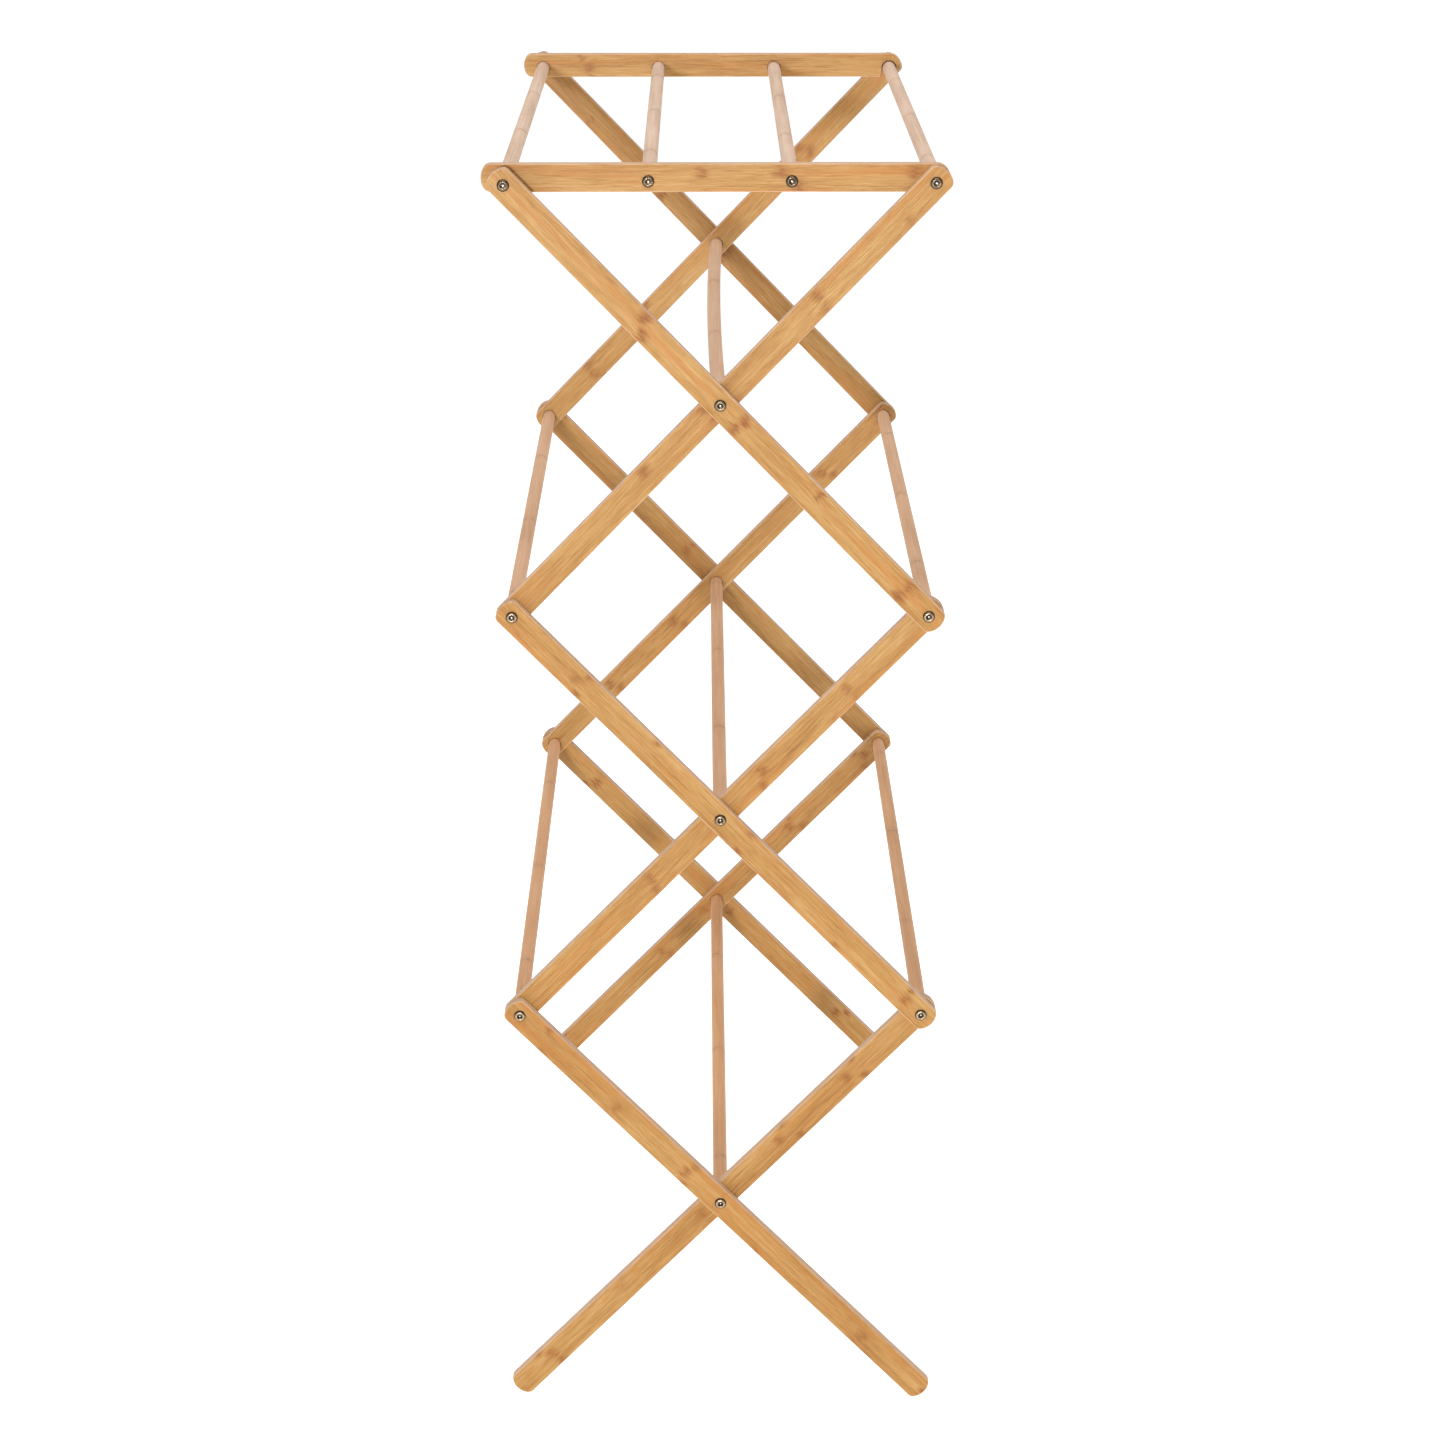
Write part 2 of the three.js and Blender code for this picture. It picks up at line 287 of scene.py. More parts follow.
def rod_mesh(name, length, bow):
    """A rod centred on its middle, with a drilled pilot in each end. bow is how far it stands out there."""
    half = length / 2
    pilot_floor = half - PILOT_DEPTH
    end = [(pilot_floor - PILOT_POINT, 0.0), (pilot_floor, PILOT_RADIUS), (half, PILOT_RADIUS),
           (half, ROD_RADIUS - ROD_CHAMFER), (half - ROD_CHAMFER, ROD_RADIUS)]
    along = [(half - ROD_CHAMFER) * (1 - 2 * i / ROD_LENGTHS) for i in range(1, ROD_LENGTHS)]
    profile = end + [(x, ROD_RADIUS) for x in along] + [(-x, radius) for x, radius in end[::-1]]
    return turned_mesh(name, profile[::-1], ROD_SEGMENTS, shift=lambda x: bow * (1 - (x / half) ** 2))


def screw_mesh(name):
    """A button-head screw whose head points to +X, with a hexagon socket."""
    socket = [(SOCKET_LIP, SOCKET_RADIUS), (SOCKET_FLOOR, SOCKET_RADIUS), (SOCKET_CENTRE, 0.0)]
    profile = SHANK + HEAD + socket
    hexagonal = range(len(SHANK + HEAD), len(profile))
    sixth, flat = 4 * QUARTER / 6, math.cos(QUARTER / 3)

    def shape(k, angle):
        return flat / math.cos(angle % sixth - sixth / 2) if k in hexagonal else 1.0

    return turned_mesh(name, profile, SCREW_SEGMENTS, shape)


# ---------------------------------------------------------------- materials

class Shader:
    """One material's nodes, made from short calls that return the new node's output."""

    def __init__(self, name):
        self.material = bpy.data.materials.new(name)
        self.material.use_nodes = True
        self.tree = self.material.node_tree
        self.tree.nodes.clear()

    def add(self, kind, inputs, **settings):
        node = self.tree.nodes.new("ShaderNode" + kind)
        for setting, value in settings.items():
            setattr(node, setting, value)
        for socket, value in inputs.items():
            if isinstance(value, bpy.types.NodeSocket):
                self.tree.links.new(value, node.inputs[socket])
            else:
                node.inputs[socket].default_value = value
        return node

    def math(self, operation, a, b=0.0, c=0.0):
        return self.add("Math", {0: a, 1: b, 2: c}, operation=operation).outputs[0]

    def vector(self, operation, a, b):
        return self.add("VectorMath", {0: a, 1: b}, operation=operation).outputs[0]

    def noise(self, place, stretch, detail=3.0, roughness=0.55):
        """Noise from 0 to 1. stretch is how many features there are in each metre along X, Y and Z."""
        stretched = self.vector("MULTIPLY", place, stretch)
        inputs = {"Vector": stretched, "Scale": 1.0, "Detail": detail, "Roughness": roughness}
        return self.add("TexNoise", inputs).outputs["Fac"]

    def random(self, *parts):
        """Three random numbers from 0 to 1, always the same for the same one to three parts."""
        joined = self.add("CombineXYZ", dict(enumerate(parts))).outputs[0]
        return self.add("TexWhiteNoise", {"Vector": joined}, noise_dimensions="3D").outputs["Color"]

    def split(self, vector):
        return self.add("SeparateXYZ", {0: vector}).outputs

    def ramp(self, value, low, high, start=0.0, stop=1.0):
        """Smoothly from start to stop as value goes from low to high."""
        inputs = {0: value, 1: low, 2: high, 3: start, 4: stop}
        return self.add("MapRange", inputs, interpolation_type="SMOOTHSTEP").outputs[0]

    def mix(self, share, a, b, blend="MIX"):
        node = self.add("Mix", {0: share, 6: a, 7: b}, data_type="RGBA", blend_type=blend)
        return node.outputs[2]

    def colours(self, value, stops):
        node = self.add("ValToRGB", {0: value})
        elements = node.color_ramp.elements
        elements[0].position, elements[0].color = stops[0][0], (*stops[0][1], 1)
        elements[1].position, elements[1].color = stops[-1][0], (*stops[-1][1], 1)
        for position, colour in stops[1:-1]:
            elements.new(position).color = (*colour, 1)
        return node.outputs["Color"]

    def stored(self, name, output="Fac"):
        return self.add("Attribute", {}, attribute_name=name).outputs[output]

    def place(self):
        """The point in the piece's own frame, moved by the piece's seed, and the seed."""
        point = self.stored(GRAIN_PLACE, "Vector")
        seed = self.stored(SEED)
        spread = self.add("CombineXYZ", {0: seed, 1: seed, 2: seed}).outputs[0]
        shift = self.vector("MULTIPLY", spread, SEED_SHIFT)
        return self.vector("ADD", point, shift), seed

    def end_grain(self):
        """The normal in the row frame at rest, and how squarely the surface cuts the grain, from 0 to 1."""
        normal = self.add("TexCoord", {}).outputs["Normal"]
        inputs = {0: normal, 1: self.stored(GRAIN_AXIS, "Vector")}
        along = self.add("VectorMath", inputs, operation="DOT_PRODUCT").outputs["Value"]
        return normal, self.ramp(self.math("ABSOLUTE", along), *END_GRAIN)

    def finish(self, colour, roughness, bump, **uniform):
        """Ends the material. uniform holds what is the same all over, with _ for a space in a name."""
        inputs = {"Base Color": colour, "Roughness": roughness, "Normal": bump}
        principled = self.add("BsdfPrincipled", inputs)
        for socket, value in uniform.items():
            principled.inputs[socket.replace("_", " ")].default_value = value
        self.add("OutputMaterial", {"Surface": principled.outputs[0]})
        return self.material

    def bump(self, height, distance):
        return self.add("Bump", {"Height": height, "Distance": distance, "Strength": 1.0}).outputs[0]


# Colours, linear; a list runs from the dark end of a tone to its pale end
HONEY = [
    (0.10, (0.25, 0.105, 0.021)),
    (0.34, (0.335, 0.162, 0.038)),
    (0.54, (0.395, 0.208, 0.058)),
    (0.76, (0.440, 0.254, 0.087)),
    (1.0, (0.49, 0.325, 0.150)),
]
ORANGE = (0.40, 0.155, 0.026, 1)
NODE_BROWN = (0.26, 0.085, 0.012, 1)
NODE_LINE = (0.16, 0.046, 0.008, 1)
FLECK = (0.26, 0.095, 0.022, 1)
# paler colour of the sides and rounded edges: partly edge wear, partly a painted sheen where light falls on
# them
PALE_SIDE_AND_SHEEN = (0.62, 0.42, 0.29, 1)
PAINTED_SHADE = (0.76, 0.74, 0.73, 1)  # painted shade: multiplies a bar's colours where the bar is darkened as if in shade
PALE = [
    (0.1, (0.44, 0.265, 0.165)),
    (0.42, (0.62, 0.43, 0.305)),
    (0.62, (0.695, 0.505, 0.38)),
    (1.0, (0.78, 0.63, 0.515)),
]
WARM = (0.96, 0.73, 0.49, 1)  # multiplies a rod's colours where the rod is a warm one
RING_HALO = (0.50, 0.27, 0.15, 1)
RING_LINE = (0.36, 0.2, 0.11, 1)
TARNISH = [(0.3, (0.022, 0.014, 0.008)), (0.7, (0.065, 0.045, 0.028))]
# painted reflection: the bright ring on the crown of a screw's head
PAINTED_CROWN_REFLECTION = (0.50, 0.38, 0.25, 1)
# painted highlight: a glint in the middle of a screw's socket
PAINTED_GLINT = (0.85, 0.83, 0.78, 1)

# Attributes that each piece's mesh carries
SEED = "piece_seed"
SHADE_WARMTH_SHEEN = "piece_shade_warmth_sheen"  # from 0 to 1: on a bar, how much painted shade darkens it; on a rod, how warm its colour is; on a screw, how strong the painted reflection on its head is
GRAIN_PLACE = "grain_place"  # each point in the piece's own frame, with the grain along X
GRAIN_AXIS = "grain_axis"  # the grain's direction in the row frame

SEED_SHIFT = (7.3, 3.1, 5.9)  # how far a whole step of the seed moves a piece's patterns
SEED_MARKS = 9.0  # how many node marks it moves them on by
STRIP_DRAW, MARK_DRAW = 3.0, 5.0  # keep a strip's random numbers apart from a node mark's
MARK_SPREAD, ROW_SPREAD = 97.0, 61.0  # multiply the seed, to give each bar numbers of its own
END_GRAIN = (0.55, 0.95)  # the normal's share along the grain where end grain starts, and where it is full

STRIP = 0.0062  # width of a bamboo strip in a bar
MARK_WIDTH = 0.011  # across the bar, the room for one node mark
MARK_SPACING = 0.1  # along the bar, on average, between places where a node mark may fall

# Sizes of a node mark, as shares of MARK_SPACING
MARK_STRAY = 0.17  # how far apart the rows of a mark may lie
MARK_CURVE = 0.045  # how much a mark bends across its row
MARK_RAGGED = 0.18
MARK_HALF_LEAST = 0.055  # half the length of the smallest patch
MARK_HALF_RANGE = 0.045  # how much more the largest has
MARK_LINE = (0.004, 0.017)  # from the mark's middle, where its dark line starts to fade and where it ends

RING_SPACING = 0.23  # along a rod, between the rings at the cane's nodes
RING_LINE_EDGE = (0.003, 0.012)  # shares of RING_SPACING, as is the next
RING_HALO_REACH = 0.06

# Radii on a screw's head, each as where a change starts and where it ends: the painted reflection's ring on
# the crown, and the painted glint in the socket's middle
CROWN_REFLECTION_FROM = (0.0023, 0.0026)
CROWN_REFLECTION_TO = (0.0036, 0.0043)
PAINTED_GLINT_EDGE = (0.0003, 0.0007)
TURNING_MARKS = 26000.0  # radians of the fine turned grooves in a metre

# How deep the fine relief of each material is
BAR_RELIEF = 0.00012
ROD_RELIEF = 0.0001
SCREW_RELIEF = 0.00003


def bamboo_bar():
    """Lacquered laminated bamboo: strips side by side, long fibres and scattered brown node marks."""
    s = Shader("lacquered_bamboo")
    place, seed = s.place()
    x, _, z = s.split(place)
    normal, end = s.end_grain()

    broad = s.noise(place, (8, 30, 50), 2.0)
    bands = s.noise(place, (7, 90, 170), 3.0, 0.6)
    streaks = s.noise(place, (24, 420, 560), 4.0, 0.6)
    fibres = s.noise(place, (70, 1500, 1700), 3.0, 0.65)
    flecks = s.ramp(s.noise(place, (45, 1500, 1700), 2.0, 0.6), 0.56, 0.70)

    wobble = s.math("MULTIPLY", s.noise(place, (6, 6, 6), 1.0), 0.08)
    across = s.math("ADD", s.math("DIVIDE", z, STRIP), wobble)
    strip, in_strip = s.math("FLOOR", across), s.math("FRACT", across)
    strip_tone = s.split(s.random(strip, seed, STRIP_DRAW))["X"]
    joint = s.ramp(s.math("ABSOLUTE", s.math("SUBTRACT", in_strip, 0.5)), 0.455, 0.5)

    tone = s.math("MULTIPLY_ADD", s.math("SUBTRACT", strip_tone, 0.5), 0.2, 0.5)
    for layer, share in ((broad, 0.75), (streaks, 1.0), (fibres, 1.1)):
        tone = s.math("MULTIPLY_ADD", s.math("SUBTRACT", layer, 0.5), share, tone)
    honey = s.colours(tone, HONEY)
    colour = s.mix(s.ramp(bands, 0.46, 0.68, 0.0, 0.6), honey, ORANGE)

    # a node of the cane: a soft brown patch on most of the strips, with a thin dark line across each
    lane = s.math("DIVIDE", z, MARK_WIDTH)
    row, in_row = s.math("FLOOR", lane), s.math("FRACT", lane)
    along = s.math("MULTIPLY_ADD", seed, SEED_MARKS, s.math("DIVIDE", x, MARK_SPACING))
    cell = s.math("FLOOR", along)
    shift, chance, _ = s.split(s.random(cell, MARK_DRAW, s.math("MULTIPLY", seed, MARK_SPREAD)))
    own_row = s.random(cell, row, s.math("MULTIPLY", seed, ROW_SPREAD))
    row_shift, row_chance, row_size = s.split(own_row)
    offset = s.math("SUBTRACT", s.math("FRACT", along), s.math("MULTIPLY_ADD", shift, 0.5, 0.25))
    offset = s.math("MULTIPLY_ADD", s.math("SUBTRACT", row_shift, 0.5), MARK_STRAY, offset)
    from_middle = s.math("ABSOLUTE", s.math("SUBTRACT", in_row, 0.5))
    curve = s.math("MULTIPLY", from_middle, from_middle)
    uneven = s.math("SUBTRACT", s.noise(place, (60, 520, 520), 4.0), 0.5)
    ragged = s.math("MULTIPLY", uneven, MARK_RAGGED)
    distance = s.math("ABSOLUTE", s.math("ADD", s.math("MULTIPLY_ADD", curve, MARK_CURVE, offset), ragged))
    half_patch = s.math("MULTIPLY_ADD", row_size, MARK_HALF_RANGE, MARK_HALF_LEAST)
    patch = s.ramp(s.math("DIVIDE", distance, half_patch), 0.1, 1.0, 1.0, 0.0)
    inside = s.ramp(from_middle, 0.30, 0.5, 1.0, 0.25)
    present = s.math("MULTIPLY", s.ramp(chance, 0.15, 0.28), s.ramp(row_chance, 0.15, 0.5))
    mark = s.math("MULTIPLY", s.math("MULTIPLY", patch, inside), present)
    fan = s.math("MULTIPLY", mark, s.ramp(streaks, 0.38, 0.6, 0.35, 1.0))
    line = s.math("MULTIPLY", s.ramp(distance, *MARK_LINE, 1.0, 0.0), s.math("MULTIPLY", inside, present))

    colour = s.mix(fan, colour, NODE_BROWN)
    colour = s.mix(s.math("MULTIPLY", line, 0.4), colour, NODE_LINE)
    colour = s.mix(s.math("MULTIPLY", flecks, 0.42), colour, FLECK)
    colour = s.mix(s.math("MULTIPLY", joint, 0.2), colour, FLECK)

    # the sides and the rounded edges are paler than the two faces, partly from edge wear and partly as a
    # painted sheen, and end grain is darker
    out = s.split(normal)["Y"]
    facing = s.math("MULTIPLY", out, out)
    rim = s.math("MULTIPLY", s.math("MULTIPLY", facing, s.math("SUBTRACT", 1.0, facing)), 4.0)
    wear_and_sheen = s.math("MULTIPLY", rim, s.ramp(s.noise(place, (35, 90, 90), 3.0), 0.3, 0.62, 0.35, 1.0))
    side = s.math("MAXIMUM", wear_and_sheen, s.math("SUBTRACT", 1.0, facing))
    colour = s.mix(s.math("MULTIPLY", side, 0.72), colour, PALE_SIDE_AND_SHEEN)
    # painted shade: the bars of the rear frame are darkened, each by its own amount
    colour = s.mix(s.stored(SHADE_WARMTH_SHEEN), colour, s.mix(1.0, colour, PAINTED_SHADE, "MULTIPLY"))
    pores = s.add("TexVoronoi", {"Vector": s.vector("MULTIPLY", place, (300, 1500, 1500)), "Scale": 1.0})
    pore = s.ramp(pores.outputs["Distance"], 0.12, 0.4, 1.0, 0.35)
    colour = s.mix(s.math("MULTIPLY", end, s.math("MULTIPLY", pore, 0.45)), colour, FLECK)

    roughness = s.math("MULTIPLY_ADD", s.math("SUBTRACT", streaks, 0.5), 0.22, 0.48)
    roughness = s.math("MULTIPLY_ADD", wear_and_sheen, 0.12, roughness)
    height = s.math("MULTIPLY_ADD", flecks, -0.6, s.math("MULTIPLY_ADD", fibres, 0.8, streaks))
    height = s.math("SUBTRACT", height, s.math("MULTIPLY_ADD", joint, 0.5, s.math("MULTIPLY", mark, 0.7)))
    return s.finish(colour, roughness, s.bump(height, BAR_RELIEF),
                    Coat_Weight=0.08, Coat_Roughness=0.3, Specular_IOR_Level=0.25)


def bamboo_dowel():
    """Pale sanded bamboo: fine fibres and faint darker rings where the cane's nodes were."""
    s = Shader("pale_bamboo_dowel")
    place, _ = s.place()
    broad = s.noise(place, (7, 60, 60), 2.0)
    streaks = s.noise(place, (10, 700, 700), 3.0, 0.6)
    fibres = s.noise(place, (60, 2600, 2600), 3.0, 0.65)
    tone = s.math("MULTIPLY_ADD", s.math("SUBTRACT", broad, 0.5), 0.7, 0.5)
    tone = s.math("MULTIPLY_ADD", s.math("SUBTRACT", streaks, 0.5), 0.7, tone)
    tone = s.math("MULTIPLY_ADD", s.math("SUBTRACT", fibres, 0.5), 0.3, tone)
    pale = s.colours(tone, PALE)
    colour = s.mix(s.stored(SHADE_WARMTH_SHEEN), pale, s.mix(1.0, pale, WARM, "MULTIPLY"))

    # a thin broken ring with a faint halo at each node of the cane
    spaced = s.math("DIVIDE", s.split(place)["X"], RING_SPACING)
    along = s.math("MULTIPLY_ADD", s.noise(place, (0, 90, 90), 1.0), 0.012, spaced)
    near_ring = s.math("ABSOLUTE", s.math("SUBTRACT", s.math("FRACT", along), 0.5))
    broken = s.ramp(s.noise(place, (40, 160, 160), 2.0), 0.35, 0.6)
    ring = s.math("MULTIPLY", s.ramp(near_ring, *RING_LINE_EDGE, 1.0, 0.0), broken)
    halo = s.ramp(near_ring, 0.0, RING_HALO_REACH, 1.0, 0.0)
    colour = s.mix(s.math("MULTIPLY", halo, 0.3), colour, RING_HALO)
    colour = s.mix(s.math("MULTIPLY", ring, 0.5), colour, RING_LINE)

    roughness = s.math("MULTIPLY_ADD", s.math("SUBTRACT", streaks, 0.5), 0.2, 0.58)
    height = s.math("MULTIPLY_ADD", fibres, 0.8, s.math("MULTIPLY_ADD", ring, -0.8, streaks))
    return s.finish(colour, roughness, s.bump(height, ROD_RELIEF), Specular_IOR_Level=0.3)


def screw_steel():
    """Antique nickel: dark at the rim and in the socket, with a painted reflection as a bright ring on the
    crown of the head and a painted glint in the socket's middle.
    """
    s = Shader("antique_nickel")
    place, seed = s.place()
    x, y, z = s.split(s.stored(GRAIN_PLACE, "Vector"))
    mottle = s.noise(place, (900, 900, 900), 4.0, 0.6)
    radius = s.math("SQRT", s.math("ADD", s.math("MULTIPLY", y, y), s.math("MULTIPLY", z, z)))
    turning = s.math("SINE", s.math("MULTIPLY", radius, TURNING_MARKS))
    # a painted reflection: a bright ring on the crown, stronger on the lower screws and varying from screw
    # to screw
    ring = s.math("MULTIPLY", s.ramp(radius, *CROWN_REFLECTION_FROM), s.ramp(radius, *CROWN_REFLECTION_TO, 1.0, 0.0))
    by_height = s.ramp(s.stored(SHADE_WARMTH_SHEEN), 0.0, 1.0, 0.45, 1.0)
    reflection_share = s.math("MULTIPLY", by_height, s.ramp(seed, 0.0, 0.6, 0.7, 1.0))
    painted_reflection = s.math("MULTIPLY", s.math("MULTIPLY", ring, reflection_share), s.ramp(mottle, 0.35, 0.6, 0.6, 1.0))
    colour = s.mix(painted_reflection, s.colours(mottle, TARNISH), PAINTED_CROWN_REFLECTION)
    # a painted glint in the middle of the socket, on the head only
    centre = s.ramp(radius, *PAINTED_GLINT_EDGE, 1.0, 0.0)
    above_seat = s.ramp(x, 0.0, 0.0003)
    colour = s.mix(s.math("MULTIPLY", centre, above_seat), colour, PAINTED_GLINT)
    roughness = s.math("MULTIPLY_ADD", mottle, 0.25, 0.16)
    height = s.math("MULTIPLY_ADD", turning, 0.15, mottle)
    return s.finish(colour, roughness, s.bump(height, SCREW_RELIEF), Metallic=1.0)


# by the record's material slots
FINISHES = {"bamboo_bar": bamboo_bar(), "bamboo_dowel": bamboo_dowel(), "steel_screw": screw_steel()}


# ---------------------------------------------------------------- the rack

def middle(node):
    low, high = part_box(node)
    return (low + high) / 2


def size_y(node):
    low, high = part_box(node)
    return high.y - low.y


made = []
GOLDEN_STEP = 0.6180339887  # spreads the pieces' seeds evenly


def store(mesh, name, values):
    """Keeps a number, or a vector, for each of a mesh's points."""
    if isinstance(values[0], tuple):
        attribute = mesh.attributes.new(name, "FLOAT_VECTOR", "POINT")
        attribute.data.foreach_set("vector", [number for value in values for number in value])
    else:
        attribute = mesh.attributes.new(name, "FLOAT", "POINT")
        attribute.data.foreach_set("value", values)


def place_piece(mesh, node, slot, x_axis, origin, shade_warmth_sheen):
    """Puts a piece, built in its own frame, in place of a CAD node.

    A bar's own Y is the row frame's Y, and a rod's or screw's own Z is up."""
    along = Vector(x_axis).normalized()
    is_bar = abs(along.y) < 0.5
    across = Vector((0, 1, 0)) if is_bar else Vector((0, 0, 1)).cross(along)
    matrix = Matrix((along, across, along.cross(across))).transposed().to_4x4()
    matrix.translation = origin
    store(mesh, GRAIN_PLACE, [tuple(vertex.co) for vertex in mesh.vertices])
    store(mesh, GRAIN_AXIS, [tuple(along)] * len(mesh.vertices))
    store(mesh, SEED, [(len(made) * GOLDEN_STEP) % 1.0] * len(mesh.vertices))
    store(mesh, SHADE_WARMTH_SHEEN, [shade_warmth_sheen] * len(mesh.vertices))
    mesh.transform(matrix)
    mesh.materials.append(FINISHES[slot])
    piece = bpy.data.objects.new(mesh.name, mesh)
    bpy.context.scene.collection.objects.link(piece)
    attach(piece, body_of[node])
    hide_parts(node)
    made.append(piece)


body_of = {node: body for body, nodes in frame["record"]["behaviour"]["bodies"].items() for node in nodes}
RODS = [node[:-len("_rod")] for node in frame["nodes"] if node.endswith("_rod")]
pivot = {rod: middle(f"{rod}_rod") for rod in RODS}
pivot["foot_right"] = 2 * pivot["lower_centre"] - pivot["lower_left"]
pivot["foot_left"] = 2 * pivot["lower_centre"] - pivot["lower_right"]

# How much painted shade darkens each bar of the rear frame; the others get none
REAR_PAINTED_SHADE = {
    "top_rail_rear": 0.1, "upper_inner_arm_rear": 0.1, "middle_inner_arm_rear": 0.15,
    "lower_inner_arm_rear": 0.25, "upper_outer_arm_rear": 0.45, "middle_outer_arm_rear": 0.3,
    "lower_outer_arm_rear": 0.25,
}

# Arms, each from its first point to its last, with the radius of the hole at its first, middle and last one.
# A foot has no hole.
BORE, PILOT = BORE_RADIUS, PILOT_RADIUS
ARMS = {
    "upper_outer_arm": ("top_left", "upper_right", (PILOT, PILOT, PILOT)),
    "middle_outer_arm": ("upper_left", "lower_right", (PILOT, PILOT, PILOT)),
    "lower_outer_arm": ("lower_left", "foot_right", (PILOT, PILOT, 0)),
    "upper_inner_arm": ("upper_left", "top_right", (BORE, BORE, PILOT)),
    "middle_inner_arm": ("lower_left", "upper_right", (BORE, BORE, BORE)),
    "lower_inner_arm": ("foot_left", "lower_right", (0, BORE, BORE)),
}


def place_bar(mesh, node, run, start):
    # each bar's painted shade, none on the front frame
    place_piece(mesh, node, "bamboo_bar", run, start, REAR_PAINTED_SHADE.get(node, 0.0))


def make_arms(side):
    """The six arms of one side frame."""
    for arm, (first, last, radii) in ARMS.items():
        node = f"{arm}_{side}"
        start, run = pivot[first].copy(), pivot[last] - pivot[first]
        start.y = middle(node).y
        thickness = size_y(node)
        walls = through(HOLE_EASE, thickness / 2, EASE_STEPS)
        holes = [(circle((run.length * place / 2, 0.0), radius), walls)
                 for place, radius in enumerate(radii) if radius]
        mesh = bar_mesh(f"{node}_bar", arm_outline(run.length), thickness, holes)
        place_bar(mesh, node, run, start)


def make_rail(side, inner):
    """One top rail. inner is the sign of Y on the side that its sockets open to."""
    node = f"top_rail_{side}"
    start, run = pivot["top_left"].copy(), pivot["top_right"] - pivot["top_left"]
    start.y = middle(node).y
    half = size_y(node) / 2
    rise = pivot["top_right"].z - pivot["upper_centre"].z
    lean = math.atan2(rise, run.length / 2 * SHELF_TURNS)
    holes = [(circle((0.0, 0.0), BORE_RADIUS), through(HOLE_EASE, half, EASE_STEPS))]
    for third in (1, 2):
        holes.append((circle((run.length * third / 3, 0.0), BORE_RADIUS), socket_walls(half, inner)))
    mesh = bar_mesh(f"{node}_bar", rail_outline(run.length, lean), 2 * half, holes)
    place_bar(mesh, node, run, start)


def lowness(rod):
    """From 0 at the top rods to 1 at the lowest: the lower rods are warmer and their screws get a stronger
    painted reflection.
    """
    top, low = pivot["top_left"].z, pivot["lower_centre"].z
    return math.sqrt((top - pivot[rod].z) / (top - low))


def make_rods():
    for rod in RODS:
        node = f"{rod}_rod"
        mesh = rod_mesh(f"{rod}_dowel", size_y(node), BOW.get(rod, 0.0))
        place_piece(mesh, node, "bamboo_dowel", (0, 1, 0), pivot[rod], lowness(rod))


def make_screws():
    """A screw in each end of each rod, with its point where the CAD screw's is."""
    point = SHANK[0][0]
    for rod in RODS:
        for side, outward in (("front", -1), ("rear", 1)):
            node = f"{rod}_screw_{side}"
            low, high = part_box(node)
            seat = pivot[rod].copy()
            seat.y = low.y - point if outward > 0 else high.y + point
            mesh = screw_mesh(f"{rod}_fastener_{side}")
            mesh.transform(Matrix.Rotation(len(made) * SOCKET_TURN, 4, "X"))
            place_piece(mesh, node, "steel_screw", (0, outward, 0), seat, lowness(rod))


for side, inner in (("front", 1), ("rear", -1)):
    make_arms(side)
    make_rail(side, inner)
make_rods()
make_screws()


# ---------------------------------------------------------------- floor, light and camera

FLOOR_SIZE = 80.0
BACKDROP_HEIGHT = 30.0
WHITE = (1, 1, 1, 1)
BLACK = (0, 0, 0, 1)
FLOOR_PAINT = (0.92, 0.92, 0.92, 1)
PAINT_ROUGHNESS = 0.9
PAINT_SHINE = 0.1
FLOOR_GLOW = 0.56
BACKDROP_GLOW = 1.0
SKY = 0.52
KEY = {"at": (-0.7, -6.0, 1.4), "target": (0, 0, 0.6), "size": 0.28, "watts": 215}
OVERHEAD = {"at": (0, -0.4, 3.4), "target": (0, 0, 0), "size": 2.6, "watts": 50}
CAMERA_BACK = 2.926
CAMERA_RIGHT = -0.0147
CAMERA_UP = 1.448
CAMERA_DOWN = math.radians(18.304)
CAMERA_TURN = math.radians(-0.367)
CAMERA_LENS = 83.71  # millimetres, as the sensor is
CAMERA_SENSOR = 36


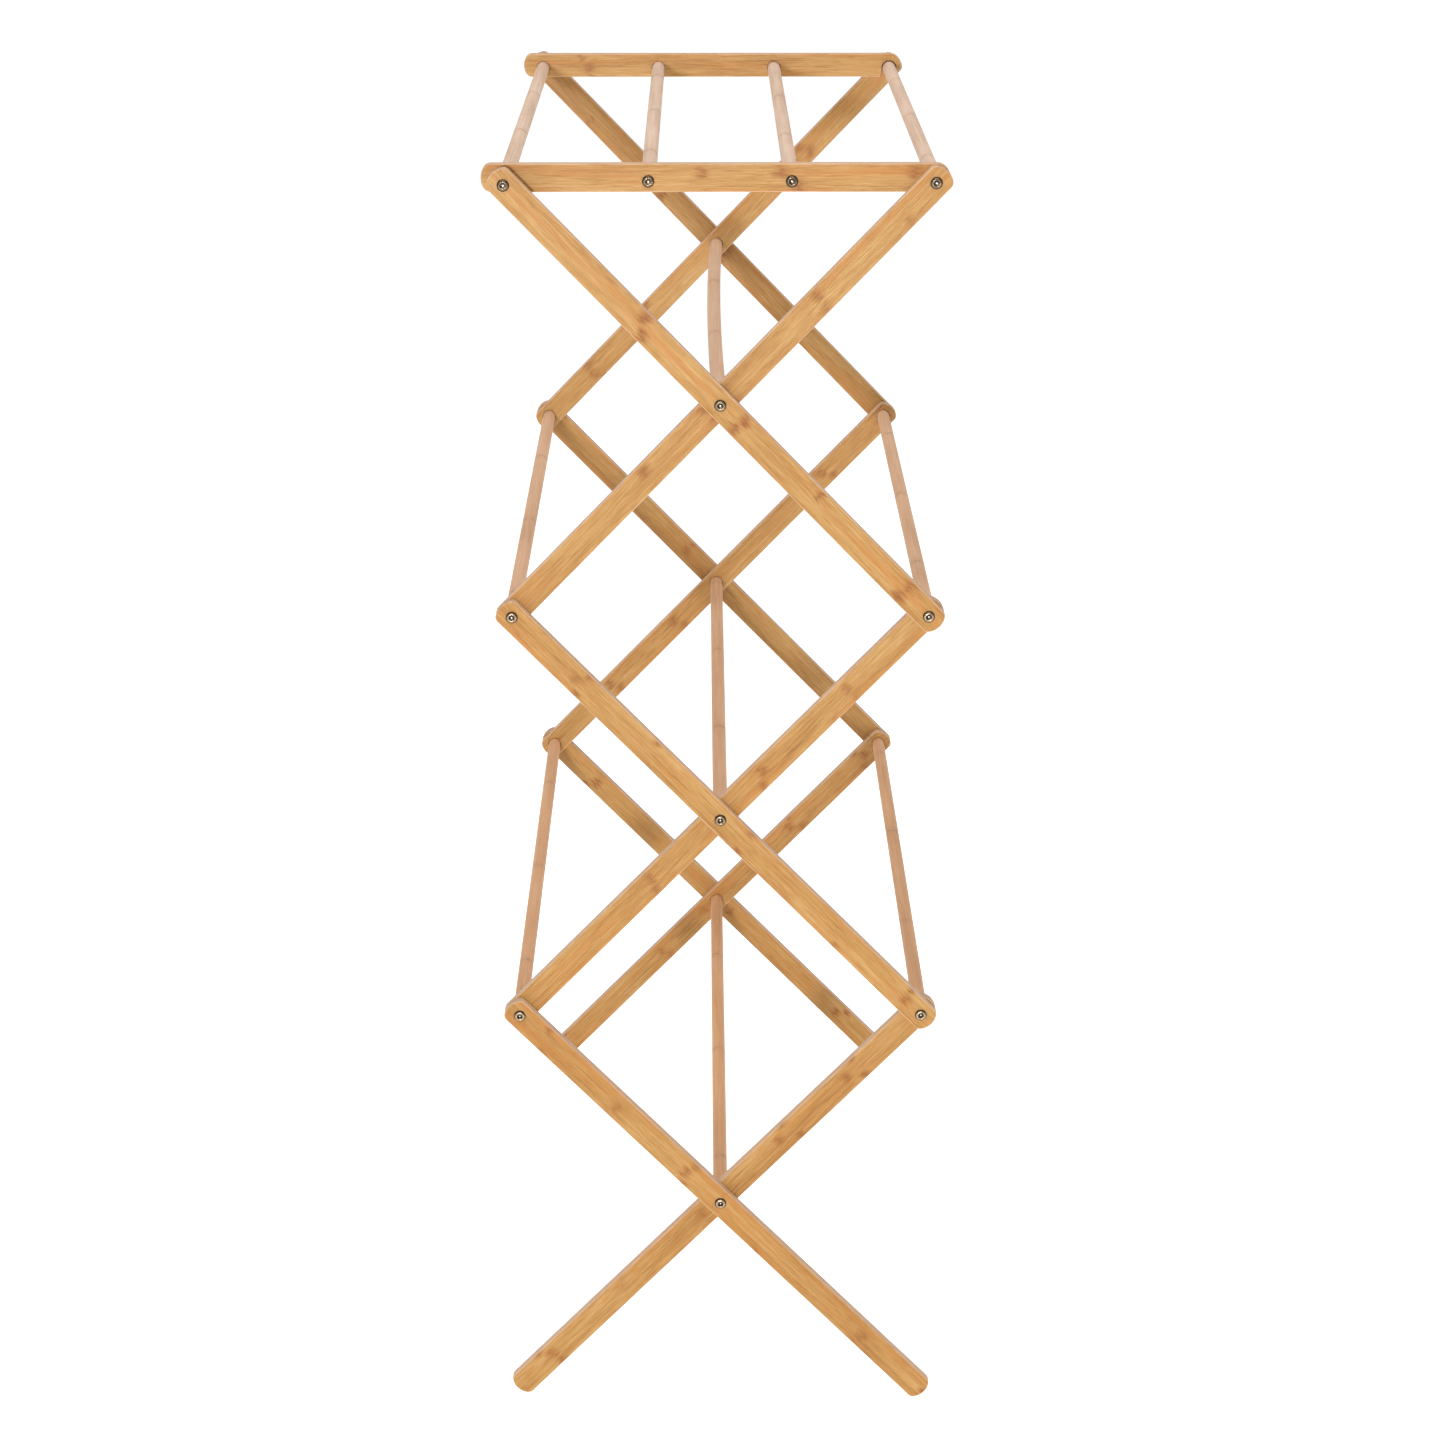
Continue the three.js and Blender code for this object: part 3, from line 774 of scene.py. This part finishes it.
def painted(name, points, faces, colour, glow):
    """A piece of the studio in a plain matt paint that glows."""
    mesh = bpy.data.meshes.new(name)
    mesh.from_pydata(points, [], faces)
    paint = bpy.data.materials.new(name)
    paint.use_nodes = True
    shader = paint.node_tree.nodes["Principled BSDF"]
    shader.inputs["Base Color"].default_value = colour
    shader.inputs["Emission Color"].default_value = WHITE
    shader.inputs["Emission Strength"].default_value = glow
    shader.inputs["Roughness"].default_value = PAINT_ROUGHNESS
    shader.inputs["Specular IOR Level"].default_value = PAINT_SHINE
    mesh.materials.append(paint)
    surface = bpy.data.objects.new(name, mesh)
    bpy.context.scene.collection.objects.link(surface)
    return surface


def studio():
    """A white floor, white walls far behind it, and an even white sky."""
    s = FLOOR_SIZE / 2
    corners = [(-s, -s), (s, -s), (s, s), (-s, s)]
    low = [(x, y, 0.0) for x, y in corners]
    high = [(x, y, BACKDROP_HEIGHT) for x, y in corners]
    painted("floor", low, [(0, 1, 2, 3)], FLOOR_PAINT, FLOOR_GLOW)
    walls = [(i, i + 4, (i + 1) % 4 + 4, (i + 1) % 4) for i in range(4)]
    backdrop = painted("backdrop", low + high, walls, BLACK, BACKDROP_GLOW)
    backdrop.visible_diffuse = backdrop.visible_glossy = False  # it is only seen, and lights nothing

    world = bpy.data.worlds.new("studio")
    world.use_nodes = True
    world.node_tree.nodes["Background"].inputs["Color"].default_value = WHITE
    world.node_tree.nodes["Background"].inputs["Strength"].default_value = SKY
    bpy.context.scene.world = world
    bpy.context.scene.view_settings.view_transform = "Standard"


def softbox(name, at, target, size, watts):
    light = bpy.data.lights.new(name, "AREA")
    light.shape, light.size, light.energy = "SQUARE", size, watts
    lamp = bpy.data.objects.new(name, light)
    bpy.context.scene.collection.objects.link(lamp)
    lamp.location = at
    lamp.rotation_euler = (Vector(target) - Vector(at)).to_track_quat("-Z", "Y").to_euler()


def camera():
    """Placed from the rack's lower centre and its feet."""
    centre = pivot["lower_centre"]
    foot = pivot["foot_left"].z
    data = bpy.data.cameras.new("camera")
    data.lens, data.sensor_width = CAMERA_LENS, CAMERA_SENSOR
    eye = bpy.data.objects.new("camera", data)
    bpy.context.scene.collection.objects.link(eye)
    eye.location = (centre.x + CAMERA_RIGHT, -CAMERA_BACK, foot + CAMERA_UP)
    eye.rotation_euler = (QUARTER - CAMERA_DOWN, 0, CAMERA_TURN)
    bpy.context.scene.camera = eye


studio()
softbox("key", **KEY)
softbox("overhead", **OVERHEAD)
camera()
